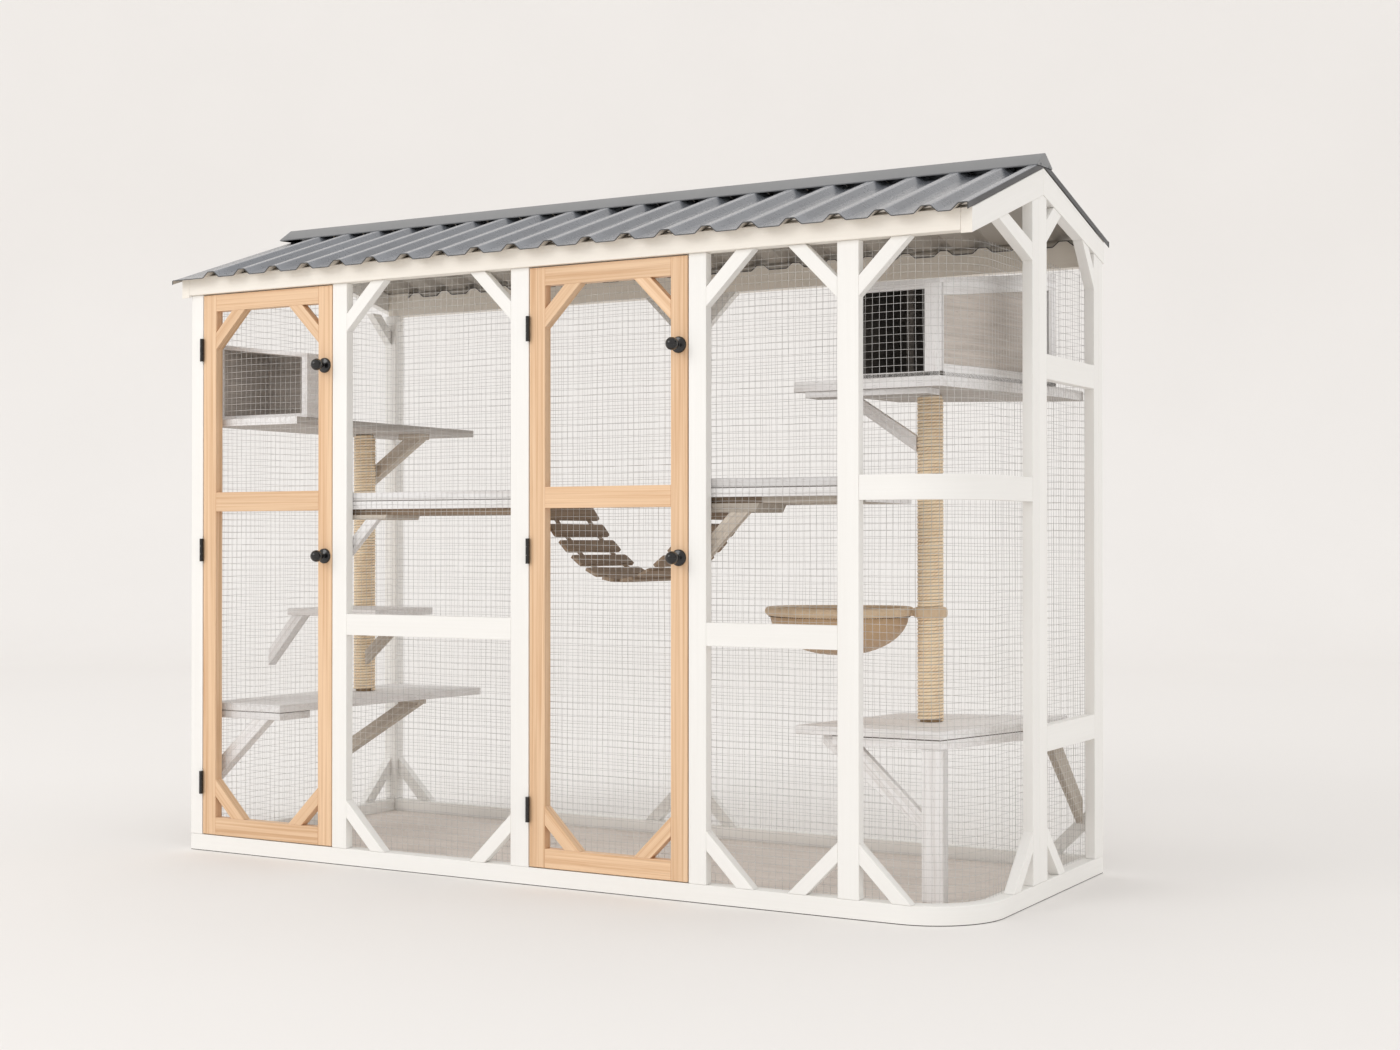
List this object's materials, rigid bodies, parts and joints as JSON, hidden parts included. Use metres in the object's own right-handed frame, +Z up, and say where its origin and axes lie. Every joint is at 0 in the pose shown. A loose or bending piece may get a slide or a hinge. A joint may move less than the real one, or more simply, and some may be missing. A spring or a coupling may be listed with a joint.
{
  "type": "outdoor cat enclosure",
  "caption": "Walk-in outdoor cat enclosure: framed mesh walls, hinged doors with turn knobs, ribbed gable roof, shelves, hanging bridge, scratching posts and a bowl hammock.",
  "frame": {"origin": "middle of the timber frame's footprint, on the ground", "axes": "+X along the length to the right seen from the front with the doors, +Y from the front to the rear, +Z up"},
  "size_m": [2.5508, 1.054, 1.9278],
  "materials": {
    "frame_wood": "satin warm white paint on planed timber",
    "floor_wood": "matt grey brown board",
    "door_wood": "satin oiled light timber with grain",
    "washed_wood": "matt grey washed timber",
    "slat_wood": "matt brown timber slats",
    "roof_metal": "satin slate grey coated sheet",
    "cap_metal": "satin grey coated sheet",
    "black_metal": "gloss black",
    "wire_mesh": "galvanised welded wire",
    "sisal_rope": "matt natural rope",
    "hammock_cloth": "matt beige cloth",
    "hammock_plush": "matt beige covered ring"
  },
  "bodies": {
    "frame": {"cat_house_left": "washed_wood", "cat_house_right": "washed_wood", "eave_beam_front": "frame_wood", "eave_beam_rear": "frame_wood", "floor_panel": "floor_wood", "gable_boards_left": "frame_wood", "gable_boards_right": "frame_wood", "hammock_cloth": "hammock_cloth", "hammock_ring": "hammock_plush", "hinge_leaf_post_left_bottom": "black_metal", "hinge_leaf_post_left_middle": "black_metal", "hinge_leaf_post_left_top": "black_metal", "hinge_leaf_post_right_bottom": "black_metal", "hinge_leaf_post_right_middle": "black_metal", "hinge_leaf_post_right_top": "black_metal", "leg_lower_right": "washed_wood", "net_front_left": "wire_mesh", "net_front_right": "wire_mesh", "net_left_end": "wire_mesh", "net_rear": "wire_mesh", "net_right_end": "wire_mesh", "panel_front_left": "frame_wood", "panel_front_right": "frame_wood", "panel_right_end": "frame_wood", "platform_lower_left": "washed_wood", "platform_lower_right": "washed_wood", "platform_upper_left": "washed_wood", "post_front_left": "frame_wood", "post_rear_left": "frame_wood", "post_rear_mid": "frame_wood", "rail_corner": "frame_wood", "ridge_beam": "frame_wood", "ridge_cap": "cap_metal", "roof_sheet_front": "roof_metal", "roof_sheet_rear": "roof_metal", "scratch_post_left": "sisal_rope", "scratch_post_right": "sisal_rope", "shelf_upper_right": "washed_wood", "sill_corner_right": "frame_wood", "sill_front": "frame_wood", "sill_rear_left": "frame_wood", "step_shelf": "washed_wood", "suspension_bridge": "slat_wood", "walkway_left": "washed_wood", "walkway_right": "washed_wood"},
    "door_left": {"door_left": "door_wood", "net_door_left": "wire_mesh", "hinge_leaf_door_left_bottom": "black_metal", "hinge_leaf_door_left_middle": "black_metal", "hinge_leaf_door_left_top": "black_metal"},
    "door_right": {"door_right": "door_wood", "net_door_right": "wire_mesh", "hinge_leaf_door_right_bottom": "black_metal", "hinge_leaf_door_right_middle": "black_metal", "hinge_leaf_door_right_top": "black_metal"},
    "knob_left_upper": {"knob_left_upper": "black_metal"},
    "knob_left_lower": {"knob_left_lower": "black_metal"},
    "knob_right_upper": {"knob_right_upper": "black_metal"},
    "knob_right_lower": {"knob_right_lower": "black_metal"}
  },
  "joints": [
    {"name": "door_left_swing", "type": "hinge", "parent": "frame", "child": "door_left", "pos_m": [-1.208, -0.4843, 0.85], "axis": [0, 0, -1], "range_deg": [0, 110]},
    {"name": "door_right_swing", "type": "hinge", "parent": "frame", "child": "door_right", "pos_m": [-0.0225, -0.4843, 0.85], "axis": [0, 0, -1], "range_deg": [0, 110]},
    {"name": "knob_left_upper_turn", "type": "hinge", "parent": "door_left", "child": "knob_left_upper", "pos_m": [-0.7355, -0.478, 1.43], "axis": [0, 1, 0], "range_deg": [0, 90]},
    {"name": "knob_left_lower_turn", "type": "hinge", "parent": "door_left", "child": "knob_left_lower", "pos_m": [-0.7355, -0.478, 0.882], "axis": [0, 1, 0], "range_deg": [0, 90]},
    {"name": "knob_right_upper_turn", "type": "hinge", "parent": "door_right", "child": "knob_right_upper", "pos_m": [0.446, -0.478, 1.43], "axis": [0, 1, 0], "range_deg": [0, 90]},
    {"name": "knob_right_lower_turn", "type": "hinge", "parent": "door_right", "child": "knob_right_lower", "pos_m": [0.446, -0.478, 0.882], "axis": [0, 1, 0], "range_deg": [0, 90]}
  ]
}
